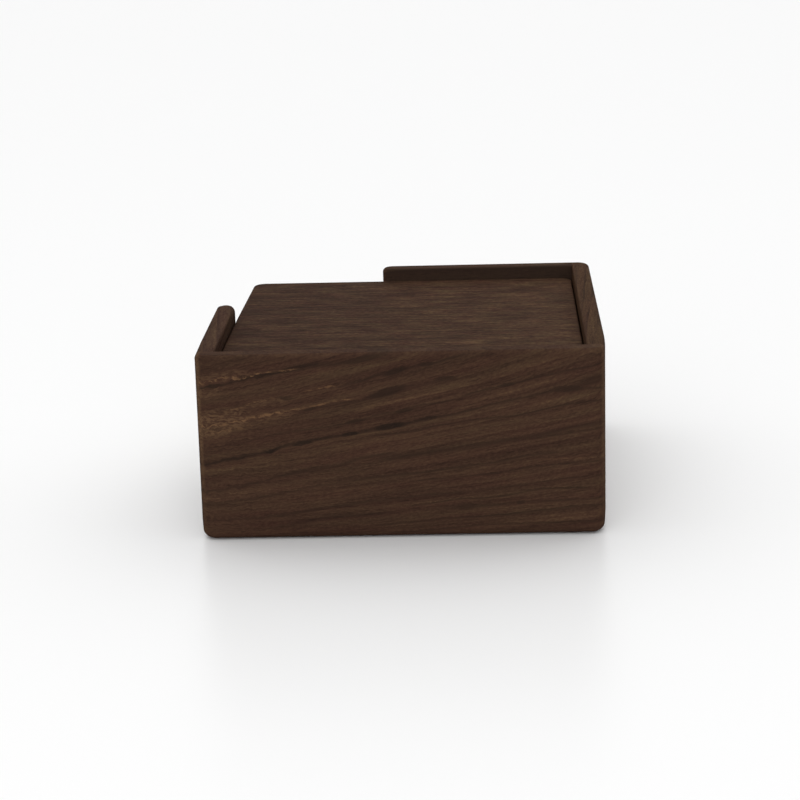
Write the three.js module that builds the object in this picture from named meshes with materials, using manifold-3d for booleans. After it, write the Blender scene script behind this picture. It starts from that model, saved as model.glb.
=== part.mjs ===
// Memo holder: a square walnut box for loose note paper, open at one corner for the fingers,
// with a loose cover plate that lies on the paper just below the rim.
// Millimetres, +Z up. The origin is the middle of the footprint, on the desk.
// +Y is the side of the person who writes, and the open corner is at -X +Y.

import * as THREE from 'three';
import { mergeVertices } from 'three/addons/utils/BufferGeometryUtils.js';
import Module from 'manifold-3d';

const wasm = await Module();
wasm.setup();

// Box
const boxWidth = 104;
const boxDepth = 104;
const boxHeight = 48.8;
const wallThickness = 5;
const outerCornerRadius = 3.5;
const freeEndRadius = 2.2;
const rimRounding = 1.3;
const footRounding = 2;

// Finger opening: how far each short wall stops before the open corner
const sideOpening = 46;
const frontOpening = 43.8;

// Base board, let into a rebate round the foot of the walls
const baseThickness = 5;
const rebateDepth = 2.2;
const baseCornerRadius = 3;
const baseEase = 0.5;

// Paper block
const paperClearance = 2;
const paperHeight = 35;
const paperCornerRadius = 0.4;

// Cover plate
const coverClearance = 0.5;
const coverThickness = 5;
const coverCornerRadius = 3.5;
const coverRounding = 0.5;
const coverSeatGap = 0.3;
const coverTurn = -0.4;

// Facets of the round edges, and the overrun of every cut
const cornerSegments = 6;
const edgeSegments = 5;
const overrun = 4;

// Outer faces of the box, and the faces of the paper well
const left = -boxWidth / 2;
const right = boxWidth / 2;
const rear = -boxDepth / 2;
const front = boxDepth / 2;
const wellLeft = left + wallThickness;
const wellRight = right - wallThickness;
const wellRear = rear + wallThickness;
const wellFront = front - wallThickness;

// Materials
const walnut = new THREE.MeshStandardMaterial({ color: 0x46332a, roughness: 0.55, metalness: 0 });
const walnutEdge = new THREE.MeshStandardMaterial({ color: 0x3d2c24, roughness: 0.6, metalness: 0 });
const walnutCover = new THREE.MeshStandardMaterial({ color: 0x4b382d, roughness: 0.55, metalness: 0 });
const paper = new THREE.MeshStandardMaterial({ color: 0xf2efe6, roughness: 0.9, metalness: 0 });

// A closed outline of straight runs along X and Y, each corner given as [x, y, radius]
function roundedOutline(corners) {
  const points = corners.map(([x, y]) => new THREE.Vector2(x, y));
  const shape = new THREE.Shape();
  corners.forEach(([, , radius], i) => {
    const corner = points[i];
    const before = points.at(i - 1);
    const after = points[(i + 1) % points.length];
    const incoming = corner.clone().sub(before).normalize();
    const outgoing = after.clone().sub(corner).normalize();
    const start = corner.clone().addScaledVector(incoming, -radius);
    if (i === 0) {
      shape.moveTo(start.x, start.y);
    } else {
      shape.lineTo(start.x, start.y);
    }
    if (radius > 0) {
      const centre = start.clone().addScaledVector(outgoing, radius);
      const clockwise = incoming.cross(outgoing) < 0;
      const startAngle = Math.atan2(-outgoing.y, -outgoing.x);
      const endAngle = Math.atan2(incoming.y, incoming.x);
      shape.absarc(centre.x, centre.y, radius, startAngle, endAngle, clockwise);
    }
  });
  shape.closePath();
  return shape;
}

// An outline raised from bottom to top, its edges eased by a quarter round of the given size
function raised(outline, bottom, top, rounding) {
  const geometry = new THREE.ExtrudeGeometry(outline, {
    depth: top - bottom - 2 * rounding,
    bevelEnabled: rounding > 0,
    bevelThickness: rounding,
    bevelSize: rounding,
    bevelOffset: -rounding,
    bevelSegments: edgeSegments,
    curveSegments: cornerSegments,
  });
  geometry.translate(0, 0, bottom + rounding);
  return geometry;
}

// A solid block between two opposite corners
function block(low, high) {
  const geometry = new THREE.BoxGeometry(high[0] - low[0], high[1] - low[1], high[2] - low[2]);
  geometry.translate((low[0] + high[0]) / 2, (low[1] + high[1]) / 2, (low[2] + high[2]) / 2);
  return geometry;
}

function toSolid(geometry) {
  const bare = geometry.clone();
  bare.deleteAttribute('normal');
  bare.deleteAttribute('uv');
  const merged = mergeVertices(bare);
  return new wasm.Manifold(new wasm.Mesh({
    numProp: 3,
    vertProperties: new Float32Array(merged.attributes.position.array),
    triVerts: new Uint32Array(merged.index.array),
  }));
}

function toGeometry(solid) {
  const mesh = solid.getMesh();
  const geometry = new THREE.BufferGeometry();
  geometry.setAttribute('position', new THREE.BufferAttribute(mesh.vertProperties, 3));
  geometry.setIndex(new THREE.BufferAttribute(mesh.triVerts, 1));
  geometry.computeVertexNormals();
  return geometry;
}

const group = new THREE.Group();

function place(name, geometry, material, parent = group) {
  const mesh = new THREE.Mesh(geometry, material);
  mesh.name = name;
  parent.add(mesh);
  return mesh;
}

// Plan of the four walls as they stand glued up, running round from one free end to the other
const wallPlan = roundedOutline([
  [left, rear, outerCornerRadius],
  [right, rear, outerCornerRadius],
  [right, front, outerCornerRadius],
  [left + frontOpening, front, freeEndRadius],
  [left + frontOpening, wellFront, freeEndRadius],
  [wellRight, wellFront, 0],
  [wellRight, wellRear, 0],
  [wellLeft, wellRear, 0],
  [wellLeft, front - sideOpening, freeEndRadius],
  [left, front - sideOpening, freeEndRadius],
]);

// Plan of the base board: only its corner in the finger opening is rounded
const baseLeft = wellLeft - rebateDepth;
const baseRight = wellRight + rebateDepth;
const baseRear = wellRear - rebateDepth;
const baseFront = wellFront + rebateDepth;
const basePlan = roundedOutline([
  [baseLeft, baseRear, 0],
  [baseRight, baseRear, 0],
  [baseRight, baseFront, 0],
  [baseLeft, baseFront, baseCornerRadius],
]);

// The sanded ring of walls: rounded at the rim and at the foot, with the base's rebate inside
function wallRing() {
  const roundedRim = toSolid(raised(wallPlan, -overrun, boxHeight, rimRounding));
  const roundedFoot = toSolid(raised(wallPlan, 0, boxHeight + overrun, footRounding));
  const rebate = toSolid(block([baseLeft, baseRear, -overrun], [baseRight, baseFront, baseThickness]));
  return roundedRim.intersect(roundedFoot).subtract(rebate);
}

// Each wall is the part of the ring inside its own board
const ring = wallRing();
const belowFoot = -overrun;
const aboveRim = boxHeight + overrun;
const boards = {
  rear_wall: [[left - overrun, rear - overrun, belowFoot], [right + overrun, wellRear, aboveRim]],
  long_side_wall: [[wellRight, wellRear, belowFoot], [right + overrun, front + overrun, aboveRim]],
  short_side_wall: [[left - overrun, wellRear, belowFoot], [wellLeft, front, aboveRim]],
  short_front_wall: [[left, wellFront, belowFoot], [wellRight, front + overrun, aboveRim]],
};
for (const [name, [low, high]] of Object.entries(boards)) {
  place(name, toGeometry(ring.intersect(toSolid(block(low, high)))), walnut);
}

// Base board: a square panel, its corner in the finger opening eased above and below
function baseBoard() {
  const panel = toSolid(raised(basePlan, 0, baseThickness, 0));
  const easedPlan = roundedOutline([
    [baseLeft, baseRear - overrun, 0],
    [baseRight + overrun, baseRear - overrun, 0],
    [baseRight + overrun, baseFront, 0],
    [baseLeft, baseFront, baseCornerRadius],
  ]);
  return panel.intersect(toSolid(raised(easedPlan, 0, baseThickness, baseEase)));
}
place('base_board', toGeometry(baseBoard()), walnutEdge);

// Paper block, square, standing clear of the walls all round
const paperHalfWidth = (wellRight - wellLeft) / 2 - paperClearance;
const paperHalfDepth = (wellFront - wellRear) / 2 - paperClearance;
const paperPlan = roundedOutline([
  [-paperHalfWidth, -paperHalfDepth, paperCornerRadius],
  [paperHalfWidth, -paperHalfDepth, paperCornerRadius],
  [paperHalfWidth, paperHalfDepth, paperCornerRadius],
  [-paperHalfWidth, paperHalfDepth, paperCornerRadius],
]);
const paperTop = baseThickness + paperHeight;
place('memo_paper', raised(paperPlan, baseThickness, paperTop, 0), paper);

// Cover plate, lying a little askew on the paper as a loose plate does
const coverHalfWidth = (wellRight - wellLeft) / 2 - coverClearance;
const coverHalfDepth = (wellFront - wellRear) / 2 - coverClearance;
const coverPlan = roundedOutline([
  [-coverHalfWidth, -coverHalfDepth, coverCornerRadius],
  [coverHalfWidth, -coverHalfDepth, coverCornerRadius],
  [coverHalfWidth, coverHalfDepth, coverCornerRadius],
  [-coverHalfWidth, coverHalfDepth, coverCornerRadius],
]);
const coverSeat = new THREE.Group();
coverSeat.position.z = paperTop + coverSeatGap;
coverSeat.rotation.z = THREE.MathUtils.degToRad(coverTurn);
group.add(coverSeat);
place('cover_plate', raised(coverPlan, 0, coverThickness, coverRounding), walnutCover, coverSeat);

export default group;
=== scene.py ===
"""Looks of the memo holder: a square walnut box for loose note paper, seen from behind."""
from collections import namedtuple
import math
import random

import bmesh
import bpy
from mathutils import Matrix, Vector


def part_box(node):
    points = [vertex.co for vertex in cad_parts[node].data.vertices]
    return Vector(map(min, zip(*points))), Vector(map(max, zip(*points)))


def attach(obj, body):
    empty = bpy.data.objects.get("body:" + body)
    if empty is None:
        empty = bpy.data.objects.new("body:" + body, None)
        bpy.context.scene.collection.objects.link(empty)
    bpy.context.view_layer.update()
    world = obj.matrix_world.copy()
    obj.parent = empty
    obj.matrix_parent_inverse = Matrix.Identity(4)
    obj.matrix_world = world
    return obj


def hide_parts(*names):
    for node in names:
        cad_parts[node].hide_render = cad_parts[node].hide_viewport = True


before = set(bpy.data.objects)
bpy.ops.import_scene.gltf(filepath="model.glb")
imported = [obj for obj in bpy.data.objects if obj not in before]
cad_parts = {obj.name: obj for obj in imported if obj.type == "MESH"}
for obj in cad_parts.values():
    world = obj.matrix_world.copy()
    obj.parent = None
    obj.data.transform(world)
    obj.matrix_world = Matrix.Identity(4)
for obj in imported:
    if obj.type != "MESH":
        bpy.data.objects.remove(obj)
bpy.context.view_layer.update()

MM = 0.001

# Places of the boards, the paper and the cover plate
rear_low, rear_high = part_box("rear_wall")
long_low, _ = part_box("long_side_wall")
_, short_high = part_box("short_side_wall")
front_low, front_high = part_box("short_front_wall")
base_low, base_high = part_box("base_board")
paper_low, paper_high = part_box("memo_paper")
cover_low, cover_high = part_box("cover_plate")
LEFT, REAR = rear_low.x, rear_low.y
RIGHT, RIM = rear_high.x, rear_high.z
WELL_REAR = rear_high.y
WELL_RIGHT = long_low.x
WELL_LEFT = short_high.x
WELL_FRONT = front_low.y
FRONT = front_high.y
SIDE_END = short_high.y
FRONT_END = front_low.x
BASE_TOP = base_high.z
REBATE = WELL_LEFT - base_low.x
BOARD_THICKNESS = WELL_LEFT - LEFT

# Roundings of the boards
OUTER_CORNER = 3.5 * MM
FREE_END = 2.45 * MM
RIM_ROUNDING = 1.3 * MM
INNER_RIM = 0.5 * MM
FOOT_EASE = 2.0 * MM
GLUE_LINE = 0.05 * MM
BASE_CORNER = 3.0 * MM
BASE_EASE = 0.5 * MM

# Sanding towards the rear corners: the sides draw in, the lower corners are rounder, and the
# upper one on the left leans in
TAPER_DEPTH = 0.8 * MM
TAPER_REACH = 18.0 * MM
TAPER_CUTS = 12
CORNER_REACH = 9.0 * MM
CORNER_DEPTH = 0.5 * MM
LEFT_SHARE = 0.7
LEAN_DEPTH = 0.5 * MM
LEAN_START = 0.5

# Sanding of the short side wall's free end, and where its rim is cut along the wall
NOSE_ROUNDING = 1.9 * MM
NOSE_REACH = 14.0 * MM
NOSE_CUTS = 6
NOSE_SHARES = (0.45, 0.7, 1.0)

# Cover plate, a little askew and a little out of square
COVER_CORNER = 3.5 * MM
COVER_ROUNDING = 0.5 * MM
COVER_TURN = math.radians(-0.4)
COVER_TRIM = 0.6 * MM
TRIM_START = 0.1
COVER_BULGE = 0.45 * MM
BULGE_MIDDLE = 0.33
BULGE_SLOPE = 0.67

# Loose paper: how far its sheets shift and turn, and how often one strays
SHEET_COUNT = 350
SHEET_SHIFT = 0.09 * MM
SHEET_TURN = 0.0006
PAPER_SLACK = 0.45 * MM
PAPER_SEED = 7
LEAN_KEPT = 0.93
LEAN_STEP = 0.3
STRAY_CHANCE = 0.05
STRAY_SHIFT = 2.2
USUAL_SHIFT = 0.5

# Facets of the round edges, the angle of a sharp edge, and the distances under which two corners
# of a mesh are one
ARC_STEPS = 12
EDGE_STEPS = 8
BEVEL_STEPS = 2
SHARP_EDGE = math.radians(50)
FLAT_FACE_WEIGHT = 80
SLIVER = 0.002 * MM
SAME_PLACE = 1e-7
SAME_CUT = 1e-6

# Camera
FOCAL_PIXELS = 2260.2
IMAGE_PIXELS = 800
SENSOR = 36.0
CLIP_START = 0.01
CLIP_END = 60.0
CAMERA_PLACE = Vector((22.4, -598.6, 188.1)) * MM
CAMERA_HEADING = math.radians(2.360)
CAMERA_PITCH = math.radians(15.489)
CAMERA_ROLL = math.radians(-1.688)

# Floor
FLOOR_HALF = 12.0
FLOOR_DROP = 0.04 * MM
FLOOR_SEEN = (0.90, 0.90, 0.90, 1.0)
FLOOR_LIT = (0.8, 0.8, 0.8, 1.0)
FLOOR_ROUGHNESS = 0.32
FLOOR_SPECULAR = 0.3

# Light: from the horizon to the zenith, from -Y to +Y, and a low lamp on the camera's side
LIGHT_BY_HEIGHT = (0.55, 1.25)
LIGHT_BY_DEPTH = (0.46, 1.36)
LOW_LAMP = Vector((-0.1, -0.94, 0.34)).normalized()
LAMP_START = 0.72
LAMP_STRENGTH = 1.7
BACKDROP = 0.965


def linear(red, green, blue):
    """Linear colour of an sRGB colour given in 0 to 255."""
    def channel(value):
        value /= 255
        return value / 12.92 if value <= 0.04045 else ((value + 0.055) / 1.055) ** 2.4
    return (channel(red), channel(green), channel(blue), 1.0)


def held(value):
    """The value, held between 0 and 1."""
    return min(max(value, 0), 1)


# Meshes

class Run:
    """One straight run of a plan: the line axis = place, with the wood on its inward side."""

    def __init__(self, axis, place, inward, kind):
        self.axis = axis
        self.place = place
        self.kind = kind
        self.inward = Vector((inward, 0)) if axis == "x" else Vector((0, inward))
        self.along = Vector((self.inward.y, -self.inward.x))

    def moved(self, shift):
        sign = self.inward.x + self.inward.y
        return self.place + sign * shift.get(self.kind, 0)


def plan_points(runs, radii, shift):
    """Points of a plan, anticlockwise, each kind of run moved inwards by its shift.

    The corners of a free end take the shift called nose as their radius, where there is one.
    """
    points = []
    for i, after in enumerate(runs):
        before = runs[i - 1]
        across, up = (before, after) if before.axis == "x" else (after, before)
        corner = Vector((across.moved(shift), up.moved(shift)))
        if radii[i] == 0:
            points.append(corner)
            continue
        inset = max(shift.get(before.kind, 0), shift.get(after.kind, 0))
        radius = max(radii[i] - inset, 0)
        if radii[i] == FREE_END:
            radius = shift.get("nose", radius)
        centre = corner + (before.inward - before.along) * radius
        for step in range(ARC_STEPS + 1):
            angle = math.pi / 2 * step / ARC_STEPS
            spoke = before.along * math.sin(angle) - before.inward * math.cos(angle)
            points.append(centre + spoke * radius)
    return points


def rounded_edge(radius):
    """Distances from the flat face and shifts inwards of a quarter round, from the side to that face."""
    for step in range(EDGE_STEPS + 1):
        angle = math.pi / 2 * step / EDGE_STEPS
        yield radius * (1 - math.sin(angle)), radius * (1 - math.cos(angle))


def skinned(bm, rings):
    """Closes rings that lie one above the other into one solid."""
    count = len(rings[0])
    for below, above in zip(rings, rings[1:]):
        for i in range(count):
            j = (i + 1) % count
            bm.faces.new((below[i], below[j], above[j], above[i]))
    bm.faces.new(reversed(rings[0]))
    bm.faces.new(rings[-1])


def loft(runs, radii, layers):
    """A closed solid through one plan at each layer (height, shifts), from the bottom up."""
    bm = bmesh.new()
    rings = []
    for height, shift in layers:
        rings.append([bm.verts.new((p.x, p.y, height)) for p in plan_points(runs, radii, shift)])
    skinned(bm, rings)
    bmesh.ops.remove_doubles(bm, verts=bm.verts, dist=SAME_PLACE)
    bmesh.ops.dissolve_degenerate(bm, edges=bm.edges, dist=SAME_PLACE)
    return bm


def finished(name, bm):
    """An object of the given name with the mesh that was built."""
    mesh = bpy.data.meshes.new(name)
    bm.to_mesh(mesh)
    bm.free()
    piece = bpy.data.objects.new(name, mesh)
    bpy.context.scene.collection.objects.link(piece)
    return piece


def baked(piece, kind, settings):
    """Applies a modifier of a kind, with its settings, to the piece's own mesh."""
    modifier = piece.modifiers.new(kind, kind)
    for key, value in settings.items():
        setattr(modifier, key, value)
    graph = bpy.context.evaluated_depsgraph_get()
    mesh = bpy.data.meshes.new_from_object(piece.evaluated_get(graph))
    piece.modifiers.clear()
    piece.data = mesh
    mesh.name = piece.name
    return piece


def sanded(piece):
    """Breaks the sharp glue-line edges by a hair and shades the piece smooth round its curves."""
    for face in piece.data.polygons:
        face.use_smooth = True
    baked(piece, "BEVEL", {
        "width": GLUE_LINE,
        "segments": BEVEL_STEPS,
        "limit_method": "ANGLE",
        "angle_limit": SHARP_EDGE,
    })
    bm = bmesh.new()
    bm.from_mesh(piece.data)
    bmesh.ops.remove_doubles(bm, verts=bm.verts, dist=SLIVER)
    bmesh.ops.dissolve_degenerate(bm, edges=bm.edges, dist=SLIVER)
    bm.to_mesh(piece.data)
    bm.free()
    return baked(piece, "WEIGHTED_NORMAL", {"keep_sharp": True, "weight": FLAT_FACE_WEIGHT})


def wall(name, runs, radii, *sanding):
    """A board of the box: eased foot, rebate for the base board, rim rounded more outside than inside."""
    foot = sorted(rounded_edge(FOOT_EASE))
    layers = [(height, {"outer": shift, "inner": REBATE}) for height, shift in foot]
    layers.append((BASE_TOP, {"inner": REBATE}))
    layers.append((BASE_TOP, {}))
    for depth, shift in sorted(rounded_edge(RIM_ROUNDING), reverse=True):
        uncut = max(INNER_RIM - depth, 0)
        inner = INNER_RIM - math.sqrt(INNER_RIM ** 2 - uncut ** 2)
        nose = (BOARD_THICKNESS - shift - inner) * FREE_END / BOARD_THICKNESS
        layers.append((RIM - depth, {"outer": shift, "inner": inner, "nose": nose}))
    bm = loft(runs, radii, layers)
    for sand in sanding:
        sand(bm)
    return sanded(finished(name, bm))


def sliced(bm, places, way=(0, 1, 0)):
    """Cuts the faces at each place along a direction, so that the surface can bend there."""
    for place in places:
        geometry = bm.verts[:] + bm.edges[:] + bm.faces[:]
        bmesh.ops.bisect_plane(bm, geom=geometry, plane_co=Vector(way) * place, plane_no=way, dist=SAME_CUT)


def sand_taper(bm):
    """The sides are sanded a little more towards the rear corners, so they draw in there."""
    start = REAR + TAPER_REACH
    sliced(bm, [start - TAPER_REACH * i / TAPER_CUTS for i in range(TAPER_CUTS)])
    for vert in bm.verts:
        reach = held((start - vert.co.y) / TAPER_REACH)
        outward = held((vert.co.x - WELL_RIGHT) / (RIGHT - WELL_RIGHT))
        vert.co.x -= TAPER_DEPTH * reach ** 2 * outward

        # Both lower rear corners are sanded rounder, and the upper one on the left draws in
        leftward = held((WELL_LEFT - vert.co.x) / BOARD_THICKNESS)
        low = max(1 - vert.co.z / CORNER_REACH, 0)
        vert.co.x += CORNER_DEPTH * low ** 2 * reach * (LEFT_SHARE * leftward - outward)
        nearness = max(1 - (RIGHT - vert.co.x) / CORNER_REACH, 0)
        nearness += LEFT_SHARE * max(1 - (vert.co.x - LEFT) / CORNER_REACH, 0)
        vert.co.z += CORNER_DEPTH * low ** 2 * reach * nearness
        vert.co.x += LEAN_DEPTH * max(vert.co.z / RIM - LEAN_START, 0) * reach * leftward


def soften_nose(bm):
    """The free end of the short side wall is sanded round on the inside of its rim too."""
    half = BOARD_THICKNESS / 2
    centre = Vector((LEFT + half, SIDE_END - half))
    sliced(bm, [SIDE_END - half - (NOSE_REACH - half) * i / NOSE_CUTS for i in range(NOSE_CUTS + 1)])
    sliced(bm, [WELL_LEFT - NOSE_ROUNDING * share for share in NOSE_SHARES], (1, 0, 0))
    for vert in bm.verts:
        from_end = SIDE_END - vert.co.y
        share = held((from_end - half) / (NOSE_REACH - half))
        rounding = NOSE_ROUNDING + (INNER_RIM - NOSE_ROUNDING) * share
        inset = WELL_LEFT - vert.co.x
        if from_end < half:
            inset = half - (vert.co.xy - centre).length
        uncut = max(rounding - max(inset, 0), 0)
        vert.co.z = min(vert.co.z, RIM - rounding + math.sqrt(rounding ** 2 - uncut ** 2))
    bmesh.ops.remove_doubles(bm, verts=bm.verts, dist=SAME_CUT)


def make_walls():
    """The four boards of the box, butted against each other at the glued runs."""
    rear = wall("rear_wall_board", [
        Run("y", REAR, 1, "outer"),
        Run("x", RIGHT, -1, "outer"),
        Run("y", WELL_REAR, -1, "glued"),
        Run("x", WELL_RIGHT, 1, "inner"),
        Run("y", WELL_REAR, -1, "inner"),
        Run("x", WELL_LEFT, -1, "inner"),
        Run("y", WELL_REAR, -1, "glued"),
        Run("x", LEFT, 1, "outer"),
    ], [OUTER_CORNER, OUTER_CORNER, 0, 0, 0, 0, 0, 0], sand_taper)
    long_side = wall("long_side_board", [
        Run("y", WELL_REAR, 1, "glued"),
        Run("x", RIGHT, -1, "outer"),
        Run("y", FRONT, -1, "outer"),
        Run("x", WELL_RIGHT, 1, "glued"),
        Run("y", WELL_FRONT, 1, "inner"),
        Run("x", WELL_RIGHT, 1, "inner"),
    ], [0, 0, OUTER_CORNER, 0, 0, 0], sand_taper)
    short_side = wall("short_side_board", [
        Run("y", WELL_REAR, 1, "glued"),
        Run("x", WELL_LEFT, -1, "inner"),
        Run("y", SIDE_END, -1, "outer"),
        Run("x", LEFT, 1, "outer"),
    ], [0, 0, FREE_END, FREE_END], sand_taper, soften_nose)
    short_front = wall("short_front_board", [
        Run("y", WELL_FRONT, 1, "inner"),
        Run("x", WELL_RIGHT, -1, "glued"),
        Run("y", FRONT, -1, "outer"),
        Run("x", FRONT_END, 1, "outer"),
    ], [FREE_END, 0, 0, FREE_END])
    return rear, long_side, short_side, short_front


def eased_layers(low, high, rounding, kind):
    """Layers of a panel between two heights, its runs of one kind eased below and above."""
    edge = sorted(rounded_edge(rounding))
    layers = [(low + height, {kind: shift}) for height, shift in edge]
    return layers + [(high - height, {kind: shift}) for height, shift in reversed(edge)]


def make_base():
    """The base board, its corner in the finger opening rounded, the two sides that meet there eased."""
    layers = eased_layers(base_low.z, base_high.z, BASE_EASE, "open")
    bm = loft([
        Run("y", base_low.y, 1, "glued"),
        Run("x", base_high.x, -1, "glued"),
        Run("y", base_high.y, -1, "open"),
        Run("x", base_low.x, 1, "open"),
    ], [0, 0, 0, BASE_CORNER], layers)
    return sanded(finished("base_panel", bm))


def make_cover():
    """The loose plate, built square at the origin and then turned as it lies."""
    spread = math.cos(COVER_TURN) + abs(math.sin(COVER_TURN))
    half = (cover_high.x - COVER_CORNER) / spread + COVER_CORNER
    layers = eased_layers(cover_low.z, cover_high.z, COVER_ROUNDING, "edge")
    bm = loft([
        Run("y", -half, 1, "edge"),
        Run("x", half, -1, "edge"),
        Run("y", half, -1, "edge"),
        Run("x", -half, 1, "edge"),
    ], [COVER_CORNER] * 4, layers)
    sliced(bm, [half * i / TAPER_CUTS for i in range(1 - TAPER_CUTS, TAPER_CUTS)])
    bm.transform(Matrix.Rotation(COVER_TURN, 4, "Z"))

    # The plate is not quite square: it draws in at the far left, and its right side follows the wall
    for vert in bm.verts:
        rightward = held(vert.co.x / half * 0.5 + 0.5)
        far = vert.co.y / half
        vert.co.x += COVER_TRIM * max(far - TRIM_START, 0) * (1 - rightward)
        vert.co.x += COVER_BULGE * (BULGE_MIDDLE - BULGE_SLOPE * far) * rightward
    return sanded(finished("cover_board", bm))


def square(half):
    """The corners of a square about the origin, anticlockwise."""
    return [Vector((x, y)) for x, y in ((-half, -half), (half, -half), (half, half), (-half, half))]


def make_paper():
    """The stack of loose sheets, each a hair out of line with the one below."""
    draw = random.Random(PAPER_SEED)
    bm = bmesh.new()
    thickness = (paper_high.z - paper_low.z) / SHEET_COUNT
    corners = square(paper_high.x - PAPER_SLACK)
    rings = []
    lean = Vector((0, 0))
    for sheet in range(SHEET_COUNT):
        lean = lean * LEAN_KEPT + Vector((draw.gauss(0, 1), draw.gauss(0, 1))) * SHEET_SHIFT * LEAN_STEP
        stray = STRAY_SHIFT if draw.random() < STRAY_CHANCE else USUAL_SHIFT
        shift = lean + Vector((draw.uniform(-1, 1), draw.uniform(-1, 1))) * SHEET_SHIFT * stray
        turn = Matrix.Rotation(draw.uniform(-1, 1) * SHEET_TURN, 2)
        for level in (sheet, sheet + 1):
            height = paper_low.z + thickness * level
            ring = []
            for corner in corners:
                place = turn @ corner + shift
                place.x = min(max(place.x, paper_low.x), paper_high.x)
                place.y = min(max(place.y, paper_low.y), paper_high.y)
                ring.append(bm.verts.new((place.x, place.y, height)))
            rings.append(ring)
    skinned(bm, rings)
    return finished("paper_stack", bm)


# Materials

class Nodes:
    """A node tree written as short calls. Values are numbers, colours or other nodes' outputs."""

    def __init__(self, tree):
        self.tree = tree
        tree.nodes.clear()

    def add(self, kind, inputs, **settings):
        node = self.tree.nodes.new("ShaderNode" + kind)
        for key, value in settings.items():
            setattr(node, key, value)
        for key, value in inputs.items():
            if isinstance(value, bpy.types.NodeSocket):
                self.tree.links.new(value, node.inputs[key])
            else:
                node.inputs[key].default_value = value
        return node

    def math(self, operation, *values):
        return self.add("Math", dict(enumerate(values)), operation=operation).outputs[0]

    def plus(self, a, b):
        return self.math("ADD", a, b)

    def times(self, a, b):
        return self.math("MULTIPLY", a, b)

    def scaled(self, a, factor, offset):
        return self.math("MULTIPLY_ADD", a, factor, offset)

    def centred(self, value, weight):
        """A value from 0 to 1, weighted and moved so that its middle lies at 0."""
        return self.scaled(value, weight, -weight / 2)

    def span(self, value, low, high, to_low=0.0, to_high=1.0):
        """The value from low to high, remapped smoothly and held at both ends."""
        inputs = {0: value, 1: low, 2: high, 3: to_low, 4: to_high}
        return self.add("MapRange", inputs, interpolation_type="SMOOTHSTEP").outputs[0]

    def split(self, place):
        """The three coordinates of a place or a direction."""
        return self.add("SeparateXYZ", {0: place}).outputs

    def vector(self, x, y, z):
        return self.add("CombineXYZ", {0: x, 1: y, 2: z}).outputs[0]

    def noise(self, place, detail, roughness=0.5):
        inputs = {"Vector": place, "Scale": 1.0, "Detail": detail, "Roughness": roughness}
        return self.add("TexNoise", inputs).outputs[0]

    def blend(self, factor, a, b, kind="MIX"):
        return self.add("Mix", {0: factor, 6: a, 7: b}, data_type="RGBA", blend_type=kind).outputs[2]

    def ramp(self, factor, stops):
        """Colours along a factor, each stop given as (place, colour)."""
        node = self.add("ValToRGB", {0: factor})
        elements = node.color_ramp.elements
        while len(elements) < len(stops):
            elements.new(0.5)
        for element, (place, colour) in zip(elements, stops):
            element.position = place
            element.color = colour
        return node.outputs[0]


def new_material(name):
    material = bpy.data.materials.new(name)
    material.use_nodes = True
    return material, Nodes(material.node_tree)


# Noises in the wood: lengths in mm along, across and through the grain, and a step of the seed
Noise = namedtuple("Noise", "lengths step detail roughness", defaults=(1.0, 0.5))
WANDER = Noise((60, 16, 20), 0)
RIPPLE = Noise((9, 3, 6), 0)
CURL = Noise((1.9, 1.1, 2.0), 1)
BROAD = Noise((60, 5, 14), 3)
BANDS = Noise((50, 1.3, 2.2), 5, 4.0, 0.68)
FIBRES = Noise((7, 0.24, 0.4), 7, 2.0, 0.6)
SPECKLE = Noise((1, 0.42, 0.9), 9, 2.0)
YEAR_WIDTH = Noise((90, 9, 20), 11, 0.0)
YEAR_STRENGTH = Noise((36, 1, 9), 13)
HUE = Noise((32, 2.6, 9), 15, 2.0)
GRAINS = Noise((1.5, 0.4, 0.8), 17, 2.0)
DASHES = Noise((5, 0.7, 1.2), 19, 3.0, 0.6)
PORE_LENGTHS = (5.5, 0.42, 0.42)

# How far the growth layers and the listed lines wander, in mm
WANDER_HEIGHT = 2.6
RIPPLE_HEIGHT = 0.4
LINE_RIPPLE = 0.6
BAND_JITTER = 0.4
SPECKLE_JITTER = 0.6

# By how many years' growth the yearly lines crowd together or spread out
YEAR_CHANGE = 2.4

# How much each part of the figure lightens or darkens the wood
BANDS_WEIGHT = 0.9
SPECKLE_WEIGHT = 0.9
DASHES_WEIGHT = 0.6
FIBRES_WEIGHT = 0.3
YEAR_WEIGHT = -0.10
LATE_WEIGHT = -0.26
OCHRE_WEIGHT = 0.15
OCHRE_OFFSET = -0.015
BELOW_RIM_WEIGHT = -0.06

# Spans of the marks: from, to, and how much shows at each end
LATE_START = (0.62, 0.93, 0.0, 1.0)
LATE_END = (0.95, 1.0, 1.0, 0.0)
LATE_STRENGTH = (0.40, 0.68, 0.12, 1.0)
CURLY_LEFT = (-42.0, -20.0, 1.5, 0.15)
BELOW_RIM_START = (36.0, 46.0, 0.0, 1.0)
BELOW_RIM_END = (47.4, 48.6, 1.0, 0.0)
BROKEN_BY_DASHES = (0.36, 0.56, 0.5, 1.0)
BROKEN_BY_SPECKLE = (0.25, 0.55, 0.6, 1.0)
GOLD_ZONE_GRAINS = (0.43, 0.60, 0.15, 1.0)
GOLD_LINE_GRAINS = (0.42, 0.60, 0.1, 1.0)

# How strongly golden wood shows
GOLD_ZONE_SHARE = 0.75
GOLD_LINE_SHARE = 0.85

# Painted shade on the face towards the paper, inside the box: how deep in mm its dark colour stays and
# ends, and how much it shows
INNER_START = 0.3
INNER_END = 1.0
INNER_SHARE = 0.75
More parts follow.
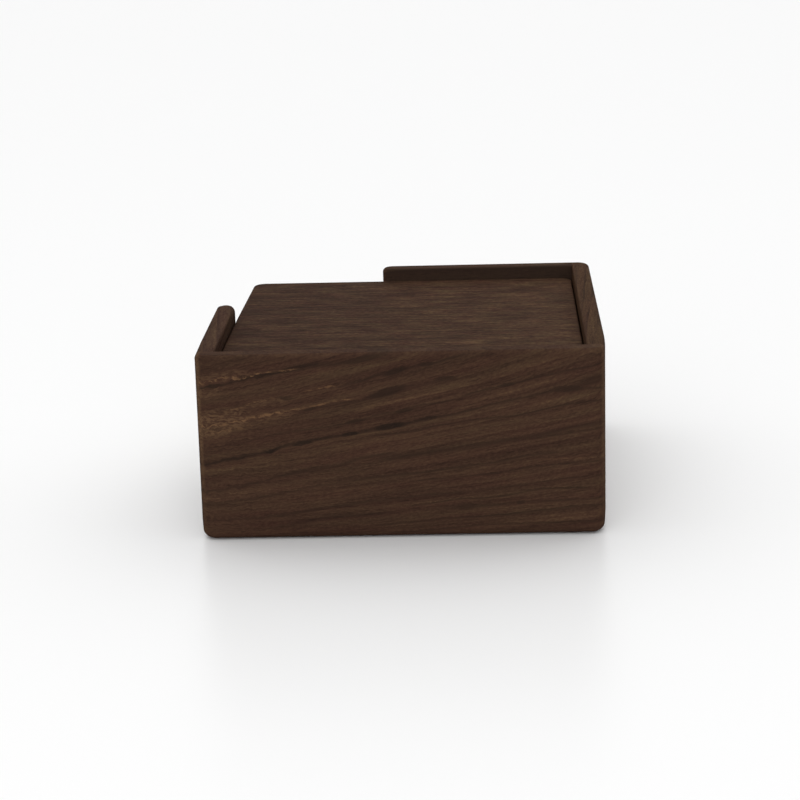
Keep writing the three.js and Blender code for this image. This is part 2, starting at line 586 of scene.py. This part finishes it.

# Painted highlight and sanding wear on the rear wall's upright edges: where, in mm from the middle, how
# wide, how grainy, and how it changes from the foot to the rim and from left to right
HIGHLIGHT_WEAR_PLACE = 51.0
HIGHLIGHT_WEAR_WIDTH = (0.0, 0.9, 0.55, 0.0)
HIGHLIGHT_WEAR_GRAINS = (0.35, 0.6, 0.35, 1.0)
HIGHLIGHT_WEAR_BY_HEIGHT = (8.0, 30.0, 0.3, 1.0)
HIGHLIGHT_WEAR_BY_SIDE = (-10.0, 10.0, 1.0, 0.6)

# Pores and finish
PORE_EDGE = (0.16, 0.34, 1.0, 0.0)
PORE_BANDS = (0.35, 0.6, 1.0, 0.35)
PORE_SHARE = 0.45
ROUGHNESS = 0.76
FIBRES_ROUGHNESS = -0.16
PORE_ROUGHNESS = 0.2
FIBRES_RELIEF = 0.5
PORE_RELIEF = -0.8
WOOD_RELIEF = 0.03 * MM

# Colours of the wood
DARK_STREAK = linear(44, 34, 29)
DARK_LINE = linear(39, 30, 25)
GOLDEN_ZONE = linear(100, 76, 56)
GOLDEN_LINE = linear(108, 80, 57)
# Painted highlight on the rear wall's upright edges, also standing for lighter sanded wood
EDGE_HIGHLIGHT_AND_WEAR = linear(106, 82, 60)
OPEN_PORE = linear(34, 26, 22)
# Painted shade of the face towards the paper, inside the box
INNER_SHADE_COLOUR = linear(53, 41.5, 35)
WALNUT_STOPS = [
    (0.08, (46, 32, 26)),
    (0.34, (57, 40, 32)),
    (0.50, (65, 46.5, 36.5)),
    (0.68, (73, 54, 41)),
    (0.95, (92, 70, 51)),
]
HUE_GREEN = 0.055
HUE_BLUE = 0.02
HUE_STOPS = ((0.3, -1), (0.7, 1))

# Figure of the rear wall, in mm on its outer face: along X, and up from the desk.
# A line or a band is its half width, its strength and its places, a lens its two ends,
# its half width and its strength. A line fades out over LINE_FADE at its ends, and a lens
# over the share LENS_EDGE of the way from its middle to its edge.
CURVE_SPAN = Vector((130, 50))
LINE_FADE = 5.0
LENS_EDGE = 0.55
DARK_LINES = [
    (0.8, 0.95, (-58, 39.9), (-50, 40.5), (-43, 42), (-40, 43), (-35, 43.5), (-30, 44.5), (-25, 45.6),
     (-17, 46.2)),
    (1.0, 0.65, (-28, 45), (-20, 46), (-15, 46.4), (-12, 47.1), (-8, 48.1), (0, 48.6)),
    (0.7, 0.60, (-18, 40), (-10, 41.6), (-5, 43.2), (0, 44), (4, 45.1), (9, 46), (13, 47.3),
     (19, 48.6)),
    (0.6, 0.50, (-29, 33.3), (-22, 34.8), (-15, 36), (-10, 36.5), (-5, 38), (0, 39.6), (5, 40.5),
     (10, 41.4), (16, 42.2)),
    (0.5, 0.45, (-20, 29.8), (-10, 31.5), (-5, 33), (0, 33.8), (5, 35), (10, 35.7), (16, 37)),
    (0.5, 0.60, (13, 36.4), (20, 38.4), (27, 40), (33, 41.5), (40, 43), (45, 43.9), (58, 47)),
    (0.8, 0.85, (-58, 19), (-50, 20.4), (-43, 22), (-36, 23.2), (-30, 24.9), (-23, 26.3), (-15, 27.5),
     (-7, 29), (0, 30.1), (9, 31.8)),
    (0.6, 0.60, (4, 31.2), (9, 31.8), (16, 33.2), (24, 35.3), (33, 37), (40, 38.5), (44, 38.9),
     (58, 37.8)),
    (0.5, 0.55, (-10, 27), (3, 28.3), (10, 29.7), (18, 31), (27, 31.8), (35, 33.2), (42, 34.7),
     (58, 35.8)),
    (1.3, 0.55, (-8, 20.8), (5, 22.4), (12, 23.4), (20, 24.4), (30, 26), (38, 27.4), (44, 28.8),
     (58, 30.4)),
    (0.6, 0.60, (30, 25.4), (38, 26.6), (45, 27.6), (58, 29.4)),
    (0.9, 0.55, (-58, 11.8), (-50, 13.2), (-45, 13.9), (-38, 15.2), (-32, 16.8), (-26, 18.3),
     (-20, 19.2), (-15, 20), (-10, 21.5), (1, 22.9)),
    (0.6, 0.45, (-58, 9.4), (-48, 10.2), (-38, 11.3), (-30, 12.6), (-22, 14.2), (-14, 15.2), (-5, 16.6),
     (6, 17.4)),
    (0.7, 0.50, (-58, 4.6), (-46, 5.5), (-38, 6.1), (-30, 6.7), (-22, 8.1), (-15, 9), (-7, 9.9),
     (0, 10.6), (6, 11.4), (18, 12.2)),
    (0.5, 0.60, (-1, 8.3), (8, 9.4), (14, 10.1), (20, 10.3), (27, 11.2), (33, 12.3), (40, 12.6),
     (50, 12.5)),
    (0.7, 0.50, (8, 7.6), (20, 8.2), (30, 8.9), (40, 9.4), (58, 9.9)),
    (0.5, 0.55, (-10, 3.2), (5, 4.5), (15, 5.2), (24, 5.7), (31, 6.4), (40, 7.3), (58, 8.2)),
    (0.5, 0.45, (-6, 1), (8, 2.2), (16, 2.9), (28, 3.4), (40, 3.5), (58, 3.7)),
    (0.5, 0.50, (-4, 16.4), (8, 17.9), (16, 18.9), (25, 20.1), (31, 21.3), (42, 22.3)),
    (0.4, 0.50, (0, 14.7), (14, 16), (24, 16.9), (31, 18.1), (40, 19), (58, 19.9)),
    (0.4, 0.40, (16, 12.5), (30, 13.6), (38, 14.8), (58, 16)),
    (0.5, 0.40, (-50, 24.3), (-40, 26.4), (-33, 27.8), (-27, 28.9), (-16, 30.2)),
    (1.0, 0.35, (-35, 3), (-26, 4.6), (-20, 5.8), (-12, 6.3), (0, 6.9)),
]
DARK_LENSES = [
    ((-36, 23), (-29.5, 24.7), 0.7, 1.0),
    ((-29, 25), (-21, 26.4), 0.7, 0.9),
    ((-16.5, 27.3), (-9.5, 28.5), 0.7, 1.0),
    ((-9, 28.8), (3.5, 30.6), 1.1, 1.0),
    ((3.5, 31), (10.5, 32.1), 0.7, 0.85),
    ((-10.5, 36.8), (4, 40.5), 1.4, 0.7),
    ((-5.5, 42.6), (3.5, 45.3), 1.0, 0.75),
    ((3.5, 45.1), (10, 46.1), 0.7, 0.7),
    ((-17, 46.0), (-2, 48.6), 1.1, 0.6),
    ((-51, 40.3), (-43, 41.8), 0.7, 0.8),
    ((-42, 42.3), (-36, 43.5), 0.6, 0.7),
    ((-30, 44.6), (-22, 46), 0.9, 0.6),
    ((-25.5, 34), (-20, 35.2), 0.6, 0.7),
    ((7.5, 41.5), (15.5, 42.3), 0.8, 0.6),
    ((36, 38.2), (48, 39.1), 1.1, 0.65),
    ((42, 39.2), (54, 42.0), 1.2, 0.4),
    ((23.5, 39.2), (30, 40.7), 0.6, 0.7),
    ((-2.5, 33.3), (4, 34.3), 0.7, 0.7),
    ((-15.5, 30.4), (-8, 31.8), 0.7, 0.6),
    ((-32, 37.7), (-26, 37.4), 0.6, 0.5),
    ((-46, 21.4), (-37, 23), 0.6, 0.7),
    ((28, 8.8), (31.5, 9.1), 0.8, 0.6),
    ((12, 7.9), (20, 8.2), 1.0, 0.45),
]
OCHRE_BANDS = [
    (2.2, 0.8, (-58, 17.4), (-40, 20.4), (-30, 22.3), (-20, 23.9), (-10, 25.5), (0, 26.6), (10, 27.4),
     (20, 28.9), (30, 30.4), (40, 32.2), (58, 34)),
    (1.8, 0.8, (-28, 43), (-15, 44.2), (-8, 45.3), (0, 46.8), (12, 49)),
    (2.0, 0.9, (-20, 37.8), (-8, 40), (0, 42), (6, 43.2), (14, 45), (24, 47)),
    (1.8, 0.9, (-14, 33.4), (-6, 35), (0, 36.3), (8, 38.3), (20, 41)),
    (2.0, 0.8, (12, 33.6), (20, 36.2), (30, 38.6), (40, 41), (58, 45)),
    (1.6, 0.7, (12, 31.4), (25, 33.6), (35, 35.2), (45, 36.6), (58, 37.2)),
    (3.0, 0.6, (22, 42.6), (36, 45.5), (58, 48.5)),
    (0.8, 0.6, (14, 17.5), (26, 18.7), (36, 19.7), (58, 20.7)),
    (1.0, 0.5, (-6, 15.2), (8, 16.6), (24, 17.6)),
    (1.5, 0.6, (16, 6.6), (28, 7.5), (40, 8.3), (58, 8.8)),
    (1.4, 0.6, (-14, 1), (0, 2.8), (16, 4), (30, 4.8), (50, 5.5)),
    (1.2, 0.5, (-58, 7.4), (-44, 8.6), (-32, 9.8), (-20, 11.6), (-4, 13.2)),
    (1.3, 0.5, (-58, 11), (-44, 12.3), (-34, 14), (-24, 15.8), (-12, 17.6)),
]
GOLD_LINES = [
    (0.36, 1.0, (-58, 41.0), (-50, 41.8), (-46.5, 42.4), (-44, 43.2), (-41, 43), (-38, 43.3),
     (-35, 44.2), (-31, 44.6), (-24, 45.2)),
    (0.42, 1.0, (-58, 29.6), (-50, 30.4), (-45, 30.9), (-40, 32.2), (-36, 32.9), (-30, 33.9),
     (-22, 35)),
    (0.36, 0.9, (-28, 34.6), (-20, 35.8), (-17.5, 36.5), (-9, 37)),
    (0.36, 0.7, (-26, 38.8), (-20, 39.9), (-13, 41)),
    (0.36, 0.6, (-46, 34), (-40, 35.2), (-37, 36.5), (-30, 37.6)),
    (0.36, 0.6, (-50, 28.6), (-44, 29.2), (-38, 30.6), (-32, 31.4)),
    (0.35, 0.3, (33, 20.1), (42, 20.4), (58, 20.7)),
]
GOLD_LENSES = [
    ((-62, 28.5), (-34, 33.5), 4.5, 0.9),
    ((-58, 37.5), (-42, 41), 2.6, 0.5),
    ((-56, 42.5), (-34, 44.5), 1.6, 0.45),
    ((-40, 31.5), (-24, 34.5), 1.6, 0.5),
    ((-42, 35.2), (-24, 38.2), 1.6, 0.35),
]

# Streaks of the cover, in mm on its top: along X, and towards +Y
COVER_STREAKS = [
    (1.1, 0.50, (-52, 12.6), (-38, 13.6), (-24, 14.6), (-8, 14.8)),
    (0.9, 0.25, (-24, 8.2), (-8, 9), (10, 9.6), (26, 9)),
    (0.8, 0.25, (-46, -3.4), (-30, -3), (-12, -3.6)),
    (0.9, 0.25, (0, 30), (18, 30.8), (40, 30.2)),
]


def lens_mask(nodes, along, across, lenses):
    """Lens-shaped marks in the wood, each (start, end, half width, strength), in mm."""
    place = nodes.vector(along, across, 0.0)
    total = 0.0
    for start, end, half, strength in lenses:
        start, end = Vector(start), Vector(end)
        way = end - start
        lens = nodes.add("Mapping", {
            "Vector": place,
            "Location": (*(start + end) / 2, 0),
            "Rotation": (0, 0, math.atan2(way.y, way.x)),
            "Scale": (way.length / 2, half, 1),
        }, vector_type="TEXTURE")
        near = nodes.add("TexGradient", {0: lens.outputs[0]}, gradient_type="SPHERICAL").outputs[1]
        near = nodes.span(near, 0.0, LENS_EDGE, 0.0, strength)
        total = nodes.math("MAXIMUM", near, total)
    return total


def line_mask(nodes, along, across, lines):
    """Long thin lines in the wood, each (half width, strength, places as (along, across)), all in mm."""
    share = nodes.scaled(along, 1 / CURVE_SPAN.x, 0.5)
    total = 0.0
    for half, strength, *places in lines:
        curve = nodes.add("FloatCurve", {1: share})
        points = curve.mapping.curves[0].points
        spots = [(x / CURVE_SPAN.x + 0.5, z / CURVE_SPAN.y) for x, z in places]
        points[0].location = spots[0]
        points[1].location = spots[-1]
        for spot in spots[1:-1]:
            points.new(*spot)
        curve.mapping.update()
        off = nodes.math("ABSOLUTE", nodes.scaled(curve.outputs[0], -CURVE_SPAN.y, across))
        near = nodes.span(off, 0.0, half, strength, 0.0)
        middle = (places[0][0] + places[-1][0]) / 2
        reach = (places[-1][0] - places[0][0]) / 2
        away = nodes.math("ABSOLUTE", nodes.plus(along, -middle))
        near = nodes.times(near, nodes.span(away, reach - LINE_FADE, reach, 1.0, 0.0))
        total = nodes.math("MAXIMUM", near, total)
    return total


class Wood:
    """The wood of one board, with places in mm along, across and through it."""

    def __init__(self, nodes, axes, seed):
        place = nodes.split(nodes.add("TexCoord", {}).outputs["Object"])
        self.nodes = nodes
        self.seed = seed
        self.along, self.across, self.through = (
            nodes.times(place["xyz".index(axis)], 1 / MM) for axis in axes)

    def cells(self, across, lengths, step=0):
        """Places in units as long, as wide and as deep as the lengths."""
        return self.nodes.vector(*(
            self.nodes.scaled(value, 1 / length, self.seed + step)
            for value, length in zip((self.along, across, self.through), lengths)))

    def noise(self, kind, across, stretch=(1, 1, 1)):
        """A noise along the grain, its lengths stretched; across is a place or a growth layer."""
        lengths = [length * factor for length, factor in zip(kind.lengths, stretch)]
        return self.nodes.noise(self.cells(across, lengths, kind.step), kind.detail, kind.roughness)

    def grow(self, slope, tilt, figured):
        """Growth layers run through the board, climb along it and wander a little."""
        nodes = self.nodes
        wander = self.noise(WANDER, self.across)
        ripple = self.noise(RIPPLE, self.across)
        climb = nodes.times(self.along, nodes.scaled(self.across, slope[1], slope[0]))
        wavy = nodes.plus(nodes.centred(wander, WANDER_HEIGHT), nodes.centred(ripple, RIPPLE_HEIGHT))
        if figured:
            # The grain is curly towards the left end, and the listed lines follow it
            curly = nodes.plus(self.noise(CURL, self.across), -0.5)
            curly = nodes.times(curly, nodes.span(self.along, *CURLY_LEFT))
            wavy = nodes.plus(wavy, curly)
            self.level = nodes.plus(self.across, nodes.plus(nodes.centred(ripple, LINE_RIPPLE), curly))
        layer = nodes.plus(nodes.math("SUBTRACT", self.across, climb), wavy)
        self.layer = nodes.plus(layer, nodes.times(self.through, tilt))

    def fine_figure(self, grain, fleck):
        """The bands, fibres, flecks and dashes that lie along the growth layers."""
        self.bands = self.noise(BANDS, self.layer, (grain, 1, 1))
        self.fibres = self.noise(FIBRES, self.layer, (grain, 1, 1))
        self.speckle = self.noise(SPECKLE, self.layer, (fleck, fleck, fleck))
        self.dashes = self.noise(DASHES, self.layer)

    def years(self, ring):
        """Each year's growth darkens slowly and ends in a thin dark line."""
        nodes = self.nodes
        width = self.noise(YEAR_WIDTH, self.layer)
        year = nodes.plus(nodes.times(self.layer, 1 / ring), nodes.times(width, YEAR_CHANGE))
        year = nodes.math("FRACT", year)
        strength = self.noise(YEAR_STRENGTH, self.layer, (1, ring, 1))
        late = nodes.times(nodes.span(year, *LATE_START), nodes.span(year, *LATE_END))
        return year, nodes.times(late, nodes.span(strength, *LATE_STRENGTH))

    def pores(self):
        """Short open vessels along the grain."""
        inputs = {"Vector": self.cells(self.layer, PORE_LENGTHS), "Scale": 1.0, "Randomness": 1.0}
        away = self.nodes.add("TexVoronoi", inputs).outputs["Distance"]
        return self.nodes.times(self.nodes.span(away, *PORE_EDGE), self.nodes.span(self.bands, *PORE_BANDS))


def rear_wall_tone(wood, tone):
    """The ochre bands of the rear wall, and its darker strip below the rim."""
    nodes = wood.nodes
    ochre = line_mask(nodes, wood.along, wood.level, OCHRE_BANDS)
    tone = nodes.plus(tone, nodes.scaled(ochre, OCHRE_WEIGHT, OCHRE_OFFSET))
    strip = nodes.times(nodes.span(wood.across, *BELOW_RIM_START), nodes.span(wood.across, *BELOW_RIM_END))
    return nodes.plus(tone, nodes.times(strip, BELOW_RIM_WEIGHT))


def rear_wall_marks(wood, colour):
    """The golden flecks, dark lines and golden lines of the rear wall, and a painted highlight with sanding
    wear on its upright edges.
    """
    nodes = wood.nodes
    along = wood.along
    jitter = nodes.plus(nodes.centred(wood.bands, BAND_JITTER), nodes.centred(wood.speckle, SPECKLE_JITTER))
    level = nodes.plus(wood.level, jitter)
    grains = wood.noise(GRAINS, level)
    zone = nodes.times(lens_mask(nodes, along, level, GOLD_LENSES), nodes.span(grains, *GOLD_ZONE_GRAINS))
    colour = nodes.blend(nodes.times(zone, GOLD_ZONE_SHARE), colour, GOLDEN_ZONE)

    thin = nodes.span(wood.dashes, *BROKEN_BY_DASHES)
    thin = nodes.times(line_mask(nodes, along, level, DARK_LINES), thin)
    dark = nodes.math("MAXIMUM", thin, lens_mask(nodes, along, level, DARK_LENSES))
    dark = nodes.times(dark, nodes.span(wood.speckle, *BROKEN_BY_SPECKLE))
    colour = nodes.blend(dark, colour, DARK_LINE)

    gold = nodes.times(line_mask(nodes, along, level, GOLD_LINES), nodes.span(grains, *GOLD_LINE_GRAINS))
    colour = nodes.blend(nodes.times(gold, GOLD_LINE_SHARE), colour, GOLDEN_LINE)

    # Painted highlight along the rounded upright corner edges, which also stands for lighter sanded wood
    # there
    side = nodes.math("ABSOLUTE", nodes.plus(nodes.math("ABSOLUTE", along), -HIGHLIGHT_WEAR_PLACE))
    highlight_wear = nodes.span(side, *HIGHLIGHT_WEAR_WIDTH)
    highlight_wear = nodes.times(highlight_wear, nodes.span(grains, *HIGHLIGHT_WEAR_GRAINS))
    highlight_wear = nodes.times(highlight_wear, nodes.span(wood.across, *HIGHLIGHT_WEAR_BY_HEIGHT))
    highlight_wear = nodes.times(highlight_wear, nodes.span(along, *HIGHLIGHT_WEAR_BY_SIDE))
    return nodes.blend(highlight_wear, colour, EDGE_HIGHLIGHT_AND_WEAR)


def tones(shift=1.0, cool=1.0):
    """Walnut colours from dark to light, all brightened by shift, and their blue by cool as well."""
    stops = []
    for place, shade in WALNUT_STOPS:
        red, green, blue, _ = linear(*shade)
        stops.append((place, (red * shift, green * shift, blue * shift * cool, 1.0)))
    return stops


def walnut(name, axes, seed, slope, tilt, colours, ring=2.7, lines=1.0, contrast=1.0, grain=1.0,
           fleck=1.0, drift=0.0, patches=0.5, tint=1.0, inner=None, streaks=(), figured=False):
    """Oiled dark walnut.

    axes names which of x, y, z run along, across and through the board. slope says how far the
    growth layers climb along the board and how that changes across it, tilt how far they climb
    through it, and ring about how many mm wide each is. lines, contrast, patches and tint say how
    strong the yearly lines, the fine figure, the broad patches and the hues are. grain says how
    long the figure is drawn out, fleck how large its flecks are, and drift brightens the wood
    along the board. inner is the place of the face towards the paper and the colour of the shade
    painted on it, streaks are dark lines, and figured adds the marks of the rear wall.
    """
    material, nodes = new_material(name)
    wood = Wood(nodes, axes, seed)
    wood.grow(slope, tilt, figured)
    wood.fine_figure(grain, fleck)
    year, late = wood.years(ring)

    broad = wood.noise(BROAD, wood.layer, (grain, 1, 1))
    tone = nodes.scaled(broad, patches, 0.5 - patches / 2)
    for figure, weight in ((wood.bands, BANDS_WEIGHT), (wood.speckle, SPECKLE_WEIGHT),
                           (wood.dashes, DASHES_WEIGHT), (wood.fibres, FIBRES_WEIGHT)):
        tone = nodes.plus(tone, nodes.centred(figure, weight * contrast))
    tone = nodes.plus(tone, nodes.times(wood.along, drift))
    tone = nodes.plus(tone, nodes.centred(year, YEAR_WEIGHT))
    tone = nodes.plus(tone, nodes.times(late, LATE_WEIGHT * lines))
    if figured:
        tone = rear_wall_tone(wood, tone)
    colour = nodes.ramp(tone, colours)

    hue = wood.noise(HUE, wood.layer, (grain, 1, 1))
    hues = [(place, (1.0, 1 + way * HUE_GREEN * tint, 1 + way * HUE_BLUE * tint, 1.0))
            for place, way in HUE_STOPS]
    colour = nodes.blend(1.0, colour, nodes.ramp(hue, hues), "MULTIPLY")
    # Painted shade: the face towards the paper turns to a dimmer, duller colour, standing in for the shade
    # inside the box
    if inner:
        surface, inner_shade = inner
        near = nodes.span(wood.through, surface + INNER_START, surface + INNER_END, INNER_SHARE, 0.0)
        colour = nodes.blend(near, colour, inner_shade)
    if streaks:
        dark = line_mask(nodes, wood.along, wood.across, streaks)
        dark = nodes.times(dark, nodes.span(wood.dashes, *BROKEN_BY_DASHES))
        colour = nodes.blend(dark, colour, DARK_STREAK)
    if figured:
        colour = rear_wall_marks(wood, colour)
    pore = wood.pores()
    colour = nodes.blend(nodes.times(pore, PORE_SHARE), colour, OPEN_PORE)

    rough = nodes.scaled(wood.fibres, FIBRES_ROUGHNESS, ROUGHNESS)
    rough = nodes.plus(rough, nodes.times(pore, PORE_ROUGHNESS))
    height = nodes.plus(nodes.times(wood.fibres, FIBRES_RELIEF), nodes.times(pore, PORE_RELIEF))
    bump = nodes.add("Bump", {"Strength": 0.5, "Distance": WOOD_RELIEF, "Height": height})
    shader = nodes.add("BsdfPrincipled", {
        "Base Color": colour,
        "Roughness": rough,
        "Normal": bump.outputs[0],
        "IOR": 1.5,
        "Specular IOR Level": 0.01,
    })
    nodes.add("OutputMaterial", {"Surface": shader.outputs[0]})
    return material


# Paper: how fine its sheets are shaded along X, Y and Z, per mm, which faces count as its top,
# how strong its shades are, and its colours
SHEET_SCALE = (0.02, 0.02, 7.0)
FACES_UP = (0.5, 0.9)
TOP_SHADE = (0.8, 0.8, 0.8, 1.0)
SHEETS_WEIGHT = 0.75
MOTTLE_WEIGHT = 0.3
PAPER_OFFSET = -0.1
PAPER_STOPS = [
    (0.15, linear(214, 211, 203)),
    (0.45, linear(236, 234, 228)),
    (0.85, linear(245, 244, 239)),
]
PAPER_ROUGHNESS = 0.82
MOTTLE_ROUGHNESS = 0.1
PAPER_RELIEF = 0.05 * MM


def paper_material():
    """White paper, its edges lined by the sheets and its top plain."""
    material, nodes = new_material("note paper")
    surface = nodes.add("TexCoord", {})
    place = [nodes.times(axis, 1 / MM) for axis in nodes.split(surface.outputs["Object"])]
    lined = nodes.vector(*(nodes.times(axis, scale) for axis, scale in zip(place, SHEET_SCALE)))
    sheets = nodes.noise(lined, detail=3.0, roughness=0.7)
    up = nodes.split(surface.outputs["Normal"])[2]
    sheets = nodes.blend(nodes.span(up, *FACES_UP), sheets, TOP_SHADE)
    mottle = nodes.noise(nodes.vector(*place), detail=3.0)
    shade = nodes.scaled(sheets, SHEETS_WEIGHT, PAPER_OFFSET)
    shade = nodes.plus(shade, nodes.scaled(mottle, MOTTLE_WEIGHT, PAPER_OFFSET))
    height = nodes.plus(sheets, mottle)
    bump = nodes.add("Bump", {"Strength": 0.4, "Distance": PAPER_RELIEF, "Height": height})
    shader = nodes.add("BsdfPrincipled", {
        "Base Color": nodes.ramp(shade, PAPER_STOPS),
        "Roughness": nodes.scaled(mottle, MOTTLE_ROUGHNESS, PAPER_ROUGHNESS),
        "Normal": bump.outputs[0],
        "Specular IOR Level": 0.25,
    })
    nodes.add("OutputMaterial", {"Surface": shader.outputs[0]})
    return material


# The object

def dress(piece, material, body, node):
    """Gives a piece its material, hides the part it replaces and hangs it on the body it rides on."""
    piece.data.materials.clear()
    piece.data.materials.append(material)
    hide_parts(node)
    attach(piece, body)


rear_board, long_board, short_board, front_board = make_walls()

rear_wood = walnut("walnut rear wall", "xzy", 1.7, (0.055, 0.0043), -0.12, tones(1.02),
                   lines=0.2, contrast=0.65, patches=0.3, figured=True)
dress(rear_board, rear_wood, "holder", "rear_wall")

long_wood = walnut("walnut long side wall", "yzx", 14.2, (0.04, 0.001), 0.9, tones(1.05, 0.87),
                   contrast=0.8)
dress(long_board, long_wood, "holder", "long_side_wall")

short_wood = walnut("walnut short side wall", "yzx", 23.9, (-0.03, 0.002), -0.8, tones(), contrast=0.8)
dress(short_board, short_wood, "holder", "short_side_wall")

front_wood = walnut("walnut short front wall", "xzy", 31.3, (0.02, 0.0006), 0.3, tones(0.96),
                    lines=0.8, contrast=0.8, patches=0.4, inner=(WELL_FRONT / MM, INNER_SHADE_COLOUR))
dress(front_board, front_wood, "holder", "short_front_wall")

base_wood = walnut("walnut base board", "xyz", 47.1, (0.02, 0.0), 0.4, tones(0.95), contrast=0.8)
dress(make_base(), base_wood, "holder", "base_board")

cover_wood = walnut("walnut cover plate", "xyz", 58.6, (-0.02, 0.0003), 0.5, tones(0.95, 0.97), ring=2.4,
                    lines=0.15, contrast=1.05, grain=0.18, fleck=1.35, drift=0.002, patches=0.7,
                    tint=1.4, streaks=COVER_STREAKS)
dress(make_cover(), cover_wood, "cover", "cover_plate")

dress(make_paper(), paper_material(), "paper", "memo_paper")


# Floor, light and camera

def make_floor():
    """A wide pale floor, a little brighter to the eye than in the light it throws back."""
    bm = bmesh.new()
    bm.faces.new([bm.verts.new((x, y, -FLOOR_DROP)) for x, y in square(FLOOR_HALF)])
    floor = finished("floor", bm)
    material, nodes = new_material("pale floor")
    seen = nodes.add("LightPath", {}).outputs["Is Camera Ray"]
    shader = nodes.add("BsdfPrincipled", {
        "Base Color": nodes.blend(seen, FLOOR_LIT, FLOOR_SEEN),
        "Roughness": FLOOR_ROUGHNESS,
        "Specular IOR Level": FLOOR_SPECULAR,
    })
    nodes.add("OutputMaterial", {"Surface": shader.outputs[0]})
    floor.data.materials.append(material)


def make_world():
    """Soft light from all round, and an even backdrop for the eye."""
    world = bpy.data.worlds.new("studio")
    bpy.context.scene.world = world
    world.use_nodes = True
    nodes = Nodes(world.node_tree)
    direction = nodes.add("TexCoord", {}).outputs["Generated"]
    _, depth, height = nodes.split(direction)
    by_height = nodes.span(height, 0.0, 1.0, *LIGHT_BY_HEIGHT)
    by_depth = nodes.span(depth, -1.0, 1.0, *LIGHT_BY_DEPTH)
    towards = nodes.add("VectorMath", {0: direction, 1: LOW_LAMP}, operation="DOT_PRODUCT").outputs["Value"]
    lamp = nodes.span(towards, LAMP_START, 1.0, 0.0, LAMP_STRENGTH)
    strength = nodes.plus(nodes.times(by_height, by_depth), lamp)
    light = nodes.add("Background", {"Color": (1, 1, 1, 1), "Strength": strength})
    view = nodes.add("Background", {"Color": (BACKDROP, BACKDROP, BACKDROP, 1), "Strength": 1.0})
    seen = nodes.add("LightPath", {}).outputs["Is Camera Ray"]
    both = nodes.add("MixShader", {0: seen, 1: light.outputs[0], 2: view.outputs[0]})
    nodes.add("OutputWorld", {"Surface": both.outputs[0]})


def make_camera():
    camera = bpy.data.cameras.new("camera")
    camera.sensor_width = SENSOR
    camera.lens = FOCAL_PIXELS / IMAGE_PIXELS * SENSOR
    camera.clip_start = CLIP_START
    camera.clip_end = CLIP_END
    view = bpy.data.objects.new("camera", camera)
    turn = Matrix.Rotation(CAMERA_HEADING, 4, "Z")
    turn = turn @ Matrix.Rotation(math.pi / 2 - CAMERA_PITCH, 4, "X")
    turn = turn @ Matrix.Rotation(CAMERA_ROLL, 4, "Z")
    view.matrix_world = Matrix.Translation(CAMERA_PLACE) @ turn
    bpy.context.scene.collection.objects.link(view)
    bpy.context.scene.camera = view


make_floor()
make_world()
make_camera()
bpy.context.scene.view_settings.view_transform = "Standard"
